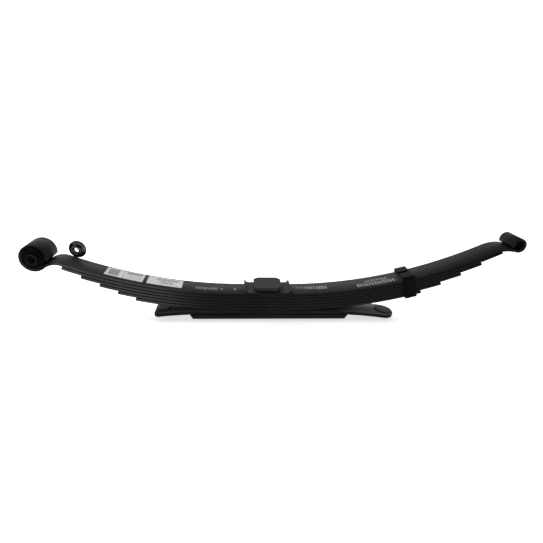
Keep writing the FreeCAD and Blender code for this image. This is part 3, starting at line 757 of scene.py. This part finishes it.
def saddle_plate():
    """Plate over the main leaf: lips turned up at its ends, tabs folded down its sides."""
    start = (0, PACK_TOP + SADDLE_HALF_THICK)
    parts = []
    for name, steps, half_width, direction in (
        ("saddle_half", SADDLE_LIP, SADDLE_HALF_WIDTH, along_x),
        ("saddle_tab", SADDLE_FOLD, SADDLE_TAB_HALF_WIDTH, along_y),
    ):
        for side in (-1, 1):
            parts.append(strap(name, start, steps, half_width, SADDLE_HALF_THICK, direction(side)))
    return round_edges(join("saddle_plate_body", parts), 0.9)


def top_pad():
    """Eight-sided pad on its foot."""
    bm = bmesh.new()
    foot_outline = [
        (-FOOT_HALF_X, -FOOT_HALF_Y), (FOOT_HALF_X, -FOOT_HALF_Y),
        (FOOT_HALF_X, FOOT_HALF_Y), (-FOOT_HALF_X, FOOT_HALF_Y),
    ]
    prism(bm, foot_outline, FOOT_BOTTOM, FOOT_TOP)
    foot = mesh_object("pad_foot", bm)
    bm = bmesh.new()
    short_x, short_y = PAD_HALF_X - PAD_CORNER, PAD_HALF_Y - PAD_CORNER
    outline = [
        (PAD_HALF_X, short_y), (short_x, PAD_HALF_Y), (-short_x, PAD_HALF_Y),
        (-PAD_HALF_X, short_y), (-PAD_HALF_X, -short_y), (-short_x, -PAD_HALF_Y),
        (short_x, -PAD_HALF_Y), (PAD_HALF_X, -short_y),
    ]
    prism(bm, outline, PAD_BOTTOM, PAD_TOP)
    plate = mesh_object("pad_plate", bm)
    return join("top_pad_body", [round_edges(foot, 1.2), round_edges(plate, 1.6)])


# ---- eyes -------------------------------------------------------------------------------------

SLEEVE_OUTER = 16.0
SHELL_INNER = 28.5


def eye_tube(name, end, inner, outer, half, edge):
    """A tube with chamfered ends in a leaf's eye."""
    profile = [
        (inner + edge, -half), (outer - edge, -half), (outer, -half + edge),
        (outer, half - edge), (outer - edge, half), (inner + edge, half),
        (inner, half - edge), (inner, -half + edge),
    ]
    return lathe(name, profile, eye_centre(end))


def front_bush_shell():
    return eye_tube("front_bush_shell_body", "front", SHELL_INNER, 30.95, HALF_WIDTH, 0.5)


def front_bush_sleeve():
    return eye_tube("front_bush_sleeve_body", "front", 10.25, SLEEVE_OUTER, 49.0, 0.9)


def rear_eye_liner():
    return eye_tube("rear_eye_liner_body", "rear", 12.0, 13.45, HALF_WIDTH, 0.4)


def bush_rubber():
    """Rubber of the front bush: rounded rim, shallow dish, raised collar round the sleeve."""
    side = [
        (SHELL_INNER, 38.4), (29.6, 38.5), (30.3, 38.9), (30.8, 39.8), (30.9, 41.0),
        (30.6, 42.6), (29.8, 44.2), (28.4, 45.6), (26.6, 46.5), (24.6, 46.8), (23.4, 46.5),
        (22.4, 45.9), (21.4, 45.5), (20.2, 45.6), (19.2, 46.2), (18.2, 46.8), (17.2, 47.0),
        (16.3, 46.8), (SLEEVE_OUTER + 0.05, 46.2),
    ]
    profile = side + [(r, -y) for r, y in reversed(side)]
    return lathe("front_bush_rubber_body", profile, eye_centre("front"), "Y", 96, 60.0)


# ---- clip, nut and labels -----------------------------------------------------------------------

# The clip's floor and roof are heights over the main leaf's top.
CLIP_REACH = 420.0
CLIP_THICK = 5.0
CLIP_HALF_LENGTH = 17.5
CLIP_SIDE_GAP = 1.5
CLIP_BEND = 5.5
CLIP_TAB_LENGTH = 35.0
CLIP_FLOOR = -PACK_DEPTH - 0.6
CLIP_ROOF = 6.0
RIVET_HEAD = 9.0
RIVET_SHANK = 5.0
RIVET_DOME = 3.6
NUT_REACH = 555.0
NUT_FLANGE = 25.5
NUT_HALF_FLATS = 14.0
NUT_SHARP = 2 * NUT_HALF_FLATS
NUT_LENGTH = 17.0
NUT_TURN = -4.0
NUT_SEGMENTS = 96
THREAD_TURNS = 6
THREAD_PITCH = 2.2
LABEL_EDGES = (-22.0, 32.0)
LABEL_HALF_THICK = 0.1
LABEL_STRIPS = 24


def clip_matrix():
    """The clip's place on the rear half, tilted with the pack."""
    x, z, lean = on_pack("rear", CLIP_REACH)
    place = Matrix.Translation(Vector((x, 0, z)) * MM)
    return place @ Matrix.Rotation(-lean, 4, "Y")


def rebound_clip():
    """Strap under the pack, up both sides, tabs folded over the main leaf."""
    half = CLIP_THICK / 2
    middle = HALF_WIDTH + CLIP_SIDE_GAP + half
    steps = [
        ("line", middle - CLIP_BEND),
        ("arc", CLIP_BEND, 90.0),
        ("line", CLIP_ROOF - CLIP_FLOOR + CLIP_THICK - 2 * CLIP_BEND),
        ("arc", CLIP_BEND, 90.0),
        ("line", half - CLIP_BEND + CLIP_TAB_LENGTH),
    ]
    start = (0, CLIP_FLOOR - half)
    parts = []
    for side in (-1, 1):
        place = along_y(side)
        parts.append(strap("clip_half", start, steps, CLIP_HALF_LENGTH, half, place, 10.0))
    clip = round_edges(join("rebound_clip_strap", parts), 1.9)
    clip.matrix_world = clip_matrix()
    return clip


def clip_rivet():
    """Domed rivet head under the clip, its shank through the shortest leaf."""
    low = CLIP_FLOOR - CLIP_THICK - 0.1
    profile = [(0, low - 0.6 - RIVET_DOME)]
    for k in range(1, 8):
        turn = math.pi / 2 * k / 7
        profile.append((RIVET_HEAD * math.sin(turn), low - 0.6 - RIVET_DOME * math.cos(turn)))
    top = low + 13.0
    profile += [(RIVET_HEAD, low), (RIVET_SHANK, low), (RIVET_SHANK, top), (0, top)]
    rivet = lathe("clip_rivet_body", profile, (0, 0, 0), "Z", 40)
    rivet.matrix_world = clip_matrix()
    return rivet


def nut_levels():
    """(height, shape, radius) of the nut's rings: flange, hexagon, chamfer and thread.
    A hex ring is cut to the flats, and NUT_SHARP is past its corners."""
    top = NUT_LENGTH
    levels = [
        (0.6, "round", NUT_FLANGE - 0.6), (1.2, "round", NUT_FLANGE),
        (2.4, "round", NUT_FLANGE), (3.4, "round", NUT_FLANGE - 1.5), (4.6, "round", 18.6),
        (5.2, "hex", NUT_SHARP), (top - 2.4, "hex", NUT_SHARP), (top - 1.2, "hex", 15.4),
        (top - 0.3, "hex", 14.0), (top, "hex", 13.4), (top, "round", 10.3),
        (top - 1.4, "round", 9.0),
    ]
    for turn in range(THREAD_TURNS):
        crest = top - 2.6 - THREAD_PITCH * turn
        levels += [(crest, "round", 7.7), (crest - THREAD_PITCH / 2, "round", 8.9)]
    return levels + [(0.0, "round", 10.2), (0.0, "round", NUT_FLANGE - 1.2)]


def flange_nut():
    """Hexagon nut with a dished flange, chamfered corners and a threaded bore, standing on
    its flange's rim on the main leaf."""
    bm = bmesh.new()
    rings = []
    for height, shape, radius in nut_levels():
        ring = []
        for k in range(NUT_SEGMENTS):
            turn = 2 * math.pi * k / NUT_SEGMENTS
            reach = radius
            if shape == "hex":
                face = (turn + math.pi / 6) % (math.pi / 3) - math.pi / 6
                reach = min(radius, NUT_HALF_FLATS / math.cos(face))
            point = Vector((reach * math.cos(turn), reach * math.sin(turn), height))
            ring.append(bm.verts.new(point * MM))
        rings.append(ring)
    for first, second in zip(rings, rings[1:] + rings[:1]):
        for k in range(NUT_SEGMENTS):
            j = (k + 1) % NUT_SEGMENTS
            bm.faces.new((first[k], first[j], second[j], second[k]))
    nut = mesh_object("flange_nut_body", bm, 22.0)
    x, z, lean = on_pack("front", NUT_REACH)
    lift = NUT_FLANGE / math.cos(lean) + 0.35
    place = Matrix.Translation(Vector((-x, HALF_WIDTH - 1.5, z + lift)) * MM)
    lying = Matrix.Rotation(math.radians(90), 4, "X")
    nut.matrix_world = place @ Matrix.Rotation(math.radians(NUT_TURN), 4, "Z") @ lying
    return nut


def label(node, near, far):
    """A thin label bent to the main leaf. Its u runs from its near end and its v across."""
    height = PACK_TOP + LABEL_HALF_THICK
    low = lean_at("front", near, height)
    high = lean_at("front", far, height)
    radius = arc_radius(height)
    stations = []
    for k in range(LABEL_STRIPS + 1):
        share = k / LABEL_STRIPS
        lean = math.radians(low + (high - low) * share)
        x = FLAT["front"] + radius * math.sin(lean)
        z = height + radius * (1 - math.cos(lean))
        stations.append(((far - near) * share, x, z, lean))
    left, right = LABEL_EDGES
    corners = [
        (right, LABEL_HALF_THICK), (right, -LABEL_HALF_THICK),
        (left, -LABEL_HALF_THICK), (left, LABEL_HALF_THICK),
    ]
    bm = bmesh.new()
    layer = bm.loops.layers.uv.new("leaf")
    sweep(bm, stations, lambda station: corners, along_x(SIDE["front"]), layer)
    return mesh_object(f"{node}_sheet", bm)


# ---- assembly -----------------------------------------------------------------------------------

def paint(obj, material, slot):
    """Gives a piece its material. Its slot is not used."""
    obj.data.materials.clear()
    obj.data.materials.append(material)
    return obj


def dress_node(node, material):
    """Gives a CAD node that stays in view its material."""
    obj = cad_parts[node]
    obj.data.materials.clear()
    obj.data.materials.append(material)


# Rows of dashes and the blocks on the labels: a box (u0, u1, v0, v1) in metres, u from the
# centre bolt or the label's near end, v across; then the dashes' or bars' own sizes.
FRONT_MARKS = [
    ((0.150, 0.172, -0.014, 0.002), 0.0060, 0.60, 0.8),
    ((0.174, 0.214, -0.016, 0.000), 0.0074, 0.58, 0.6),
    ((0.134, 0.140, -0.013, -0.001), 0.0300, 0.90, 0.6),
    ((0.093, 0.101, -0.011, 0.003), 0.0300, 0.95, 0.7),
]
REAR_MARKS = [
    ((0.088, 0.110, -0.001, 0.013), 0.0062, 0.62, 0.4),
    ((0.114, 0.146, -0.006, 0.012), 0.0072, 0.60, 0.7),
    ((0.150, 0.184, -0.010, 0.010), 0.0084, 0.64, 0.9),
    ((0.300, 0.372, 0.001, 0.013), 0.0068, 0.55, 0.8),
    ((0.272, 0.392, -0.025, -0.004), 0.0090, 0.60, 0.9),
]
LABELS = [
    ("first_label", 365.0, 471.0, [
        ((0.070, 0.098, -0.015, 0.027), None),
        ((0.056, 0.058, -0.020, 0.030), None),
        ((0.006, 0.050, 0.015, 0.028), None),
        ((0.008, 0.048, -0.018, 0.012), ("lines", 0.007, 0.22)),
    ]),
    ("second_label", 253.0, 354.0, [
        ((0.012, 0.078, 0.010, 0.025), ("bars", 0.0062, 0.62)),
        ((0.028, 0.062, -0.010, 0.004), ("bars", 0.0062, 0.62)),
    ]),
]
# Where the painted light and shade change along a leaf: (from, to, side factor, top factor).
FRONT_SHADES = (0.16, 0.40, 4.8, 0.92)
REAR_SHADES = (0.30, 0.66, 0.9, 0.47)
OVERLOAD_REAR_SHADES = (0.20, 0.29, 1.0, 4.7)

# The wear pads on the overload leaf: node, side, reach and radius.
WEAR_PADS = [("overload_front_pad", -1, 310.0, 22.0), ("overload_rear_pad", 1, 367.0, 28.0)]

# The black paints below carry painted light: each has a darker side colour and a lighter top
# colour, and the front and rear copies differ in it.
leaf_mats = {
    "front": black_paint("leaf_paint_front", 0.0115, 0.040, along=FRONT_SHADES),
    "rear": black_paint("leaf_paint_rear", 0.0130, 0.030, along=REAR_SHADES),
}
# The main leaf's paints also get a painted shade beside each eye.
main_mats = {
    "front": black_paint(
        "main_leaf_paint_front", 0.0115, 0.0245, marks=dashes(FRONT_MARKS),
        eye_shade=(0.618, 0.660), along=FRONT_SHADES,
    ),
    "rear": black_paint(
        "main_leaf_paint_rear", 0.0130, 0.0310, marks=dashes(REAR_MARKS),
        eye_shade=(0.718, 0.775), along=REAR_SHADES,
    ),
}
# Painted light on the overload leaf: a lighter top on the front; on the rear, painted shade under
# the pack and a much lighter painted top past it.
overload_mats = {
    "front": black_paint("overload_paint_front", 0.0085, 0.060),
    "rear": black_paint("overload_paint_rear", 0.0100, 0.030, along=OVERLOAD_REAR_SHADES),
}
wear_mat = black_paint("wear_pad_face", 0.008, 0.064, 0.3)
plate_mat = black_paint("plate_paint", 0.0105, 0.0235)
pad_mat = black_paint("pad_paint", 0.0250, 0.0240)
clip_mat = black_paint("clip_paint", 0.0026, 0.0068, 0.33)
liner_mat = black_paint("liner_plastic", 0.004, 0.006, 0.5)
rubber_mat = rubber()
bush_steel = metal("bush_steel", (0.004, 0.004, 0.004), (0.014, 0.014, 0.014), 0.25)
bolt_steel = metal("bolt_steel", (0.03, 0.03, 0.031), (0.07, 0.07, 0.07), 0.34)
zinc = metal("zinc_steel", (0.025, 0.025, 0.025), (0.085, 0.085, 0.083), 0.16)

for (node, end), half in build_leaves().items():
    paint(half, main_mats[end] if node == "main_leaf" else leaf_mats[end], "leaf_paint")
    bend_with(half, end)
    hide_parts(node)

for end in ("front", "rear"):
    half = paint(overload_half(end), overload_mats[end], "leaf_paint")
    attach(half, "clamped_pack")
    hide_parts("overload_leaf")

for node, side, reach, radius in WEAR_PADS:
    pad = paint(wear_pad(node, side, reach, radius), wear_mat, "liner_plastic")
    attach(pad, "clamped_pack")
    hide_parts(node)

for node, maker, material, slot_name, body in (
    ("bottom_plate", bottom_plate, plate_mat, "plate_paint", "clamped_pack"),
    ("saddle_plate", saddle_plate, plate_mat, "plate_paint", "clamped_pack"),
    ("top_pad", top_pad, pad_mat, "plate_paint", "clamped_pack"),
    ("front_bush_shell", front_bush_shell, bush_steel, "bush_steel", "front_eye"),
    ("front_bush_rubber", bush_rubber, rubber_mat, "bush_rubber", "front_eye"),
    ("front_bush_sleeve", front_bush_sleeve, bush_steel, "bush_steel", "front_sleeve"),
    ("rear_eye_liner", rear_eye_liner, liner_mat, "bush_steel", "rear_eye"),
    ("rebound_clip", rebound_clip, clip_mat, "clip_paint", "rear_eye"),
    ("clip_rivet", clip_rivet, clip_mat, "clip_paint", "rear_eye"),
    ("flange_nut", flange_nut, zinc, "zinc_steel", "loose_nut"),
):
    piece = paint(maker(), material, slot_name)
    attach(piece, body)
    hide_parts(node)

for node, near, far, blocks in LABELS:
    sheet = paint(label(node, near, far), label_paper(node, blocks), "label_paper")
    bend_with(sheet, "front")
    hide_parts(node)

for node, material in (
    ("front_tip_liners", liner_mat),
    ("rear_tip_liners", liner_mat),
    ("centre_liners", plate_mat),
    ("overload_spacers", plate_mat),
    ("centre_bolt", bolt_steel),
    ("centre_nut", bolt_steel),
):
    dress_node(node, material)


# ---- stage --------------------------------------------------------------------------------------

# The camera's sensor and lens in millimetres; places and the floor's half size in metres.
SENSOR = 36.0
LENS = 29.27735
CAMERA_PLACE = Vector((-0.0911, -1.2239, 0.6197))
TILT_DOWN = math.radians(21.39)
YAW_RIGHT = math.radians(4.79)
ROLL = math.radians(2.07)
FLOOR_HALF = 30.0


def make_camera():
    data = bpy.data.cameras.new("camera")
    data.sensor_width = SENSOR
    data.lens = LENS
    data.clip_start = 0.01
    camera = new_object("camera", data)
    turn = Matrix.Rotation(-YAW_RIGHT, 4, "Z")
    turn = turn @ Matrix.Rotation(math.pi / 2 - TILT_DOWN, 4, "X")
    turn = turn @ Matrix.Rotation(ROLL, 4, "Z")
    camera.matrix_world = Matrix.Translation(CAMERA_PLACE) @ turn
    bpy.context.scene.camera = camera


def make_light():
    """One soft box above and to the left, aimed at the spring's middle."""
    place = Vector((-1.0, 0.3, 1.6))
    data = bpy.data.lights.new("top_box", "AREA")
    data.size = 1.2
    data.energy = 22
    light = new_object("top_box", data)
    light.location = place
    aim = Vector((0, 0, 0.1)) - place
    light.rotation_euler = aim.to_track_quat("-Z", "Y").to_euler()


def make_sky():
    """Soft studio surround: even and white near the horizon, a bright screen behind the
    spring that fades to the right, and a dimmer room above and on the near side."""
    world = bpy.data.worlds.new("world")
    bpy.context.scene.world = world
    world.use_nodes = True
    n = Tree(world.node_tree)
    x, y, z = n.split(n.add("ShaderNodeTexCoord").outputs["Generated"])
    behind = n.ramp(y, 0.2, 0.7)
    leftward = n.ramp(x, 0.06, 0.30, 1.0, 0.0)
    fading = n.math("ADD", n.math("MULTIPLY", leftward, 0.75), 0.5)
    room = n.math("ADD", n.math("MULTIPLY", behind, fading), 0.35)
    high = n.ramp(z, 0.24, 0.34)
    low = n.math("MULTIPLY", n.math("SUBTRACT", 1.0, high), 1.05)
    background = n.tree.nodes["Background"]
    background.inputs["Color"].default_value = (1, 1, 1, 1)
    n.plug(n.math("ADD", low, n.math("MULTIPLY", high, room)), background.inputs["Strength"])


def make_floor():
    """Pale matt floor, lit from within a little so that it stays white."""
    floor_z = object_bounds()[0].z
    bm = bmesh.new()
    corners = ((-1, -1), (1, -1), (1, 1), (-1, 1))
    bm.faces.new([bm.verts.new((x * FLOOR_HALF, y * FLOOR_HALF, floor_z)) for x, y in corners])
    floor = mesh_object("floor", bm)
    n = Material("floor_white")
    n.set(Base_Color=(0.9, 0.9, 0.9, 1), Roughness=0.9, Specular_IOR_Level=0.1)
    n.set(Emission_Color=(1, 1, 1, 1), Emission_Strength=0.62)
    floor.data.materials.append(n.material)


make_camera()
make_floor()
make_sky()
make_light()
bpy.context.scene.view_settings.view_transform = "Standard"
